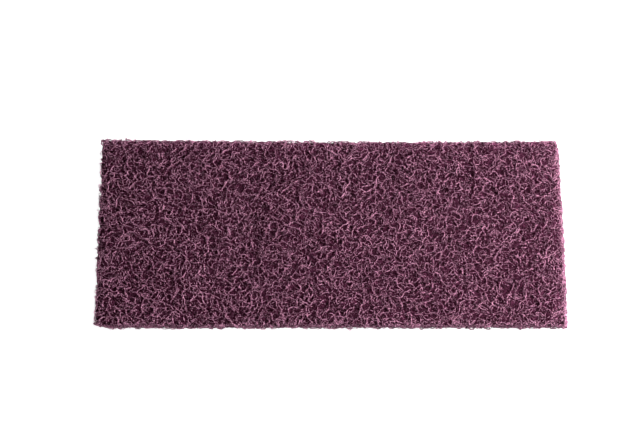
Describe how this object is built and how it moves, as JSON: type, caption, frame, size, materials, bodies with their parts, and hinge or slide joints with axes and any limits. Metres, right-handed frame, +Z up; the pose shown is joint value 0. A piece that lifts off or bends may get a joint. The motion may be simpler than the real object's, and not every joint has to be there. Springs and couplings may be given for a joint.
{
  "type": "nylon scouring pad",
  "caption": "Oblong maroon scouring pad of crimped nylon web, lying flat, with ragged cut edges.",
  "frame": {"origin": "middle of the pad's box, on the surface that the pad lies on", "axes": "+X along the pad to its right end, +Y to its far long edge, +Z up out of the upper face"},
  "size_m": [0.2564, 0.1034, 0.0199],
  "materials": {
    "nylon_web": "dull open web of dyed nylon strands with resin and grit"
  },
  "bodies": {
    "root": {"scouring_pad": "nylon_web"}
  },
  "joints": []
}
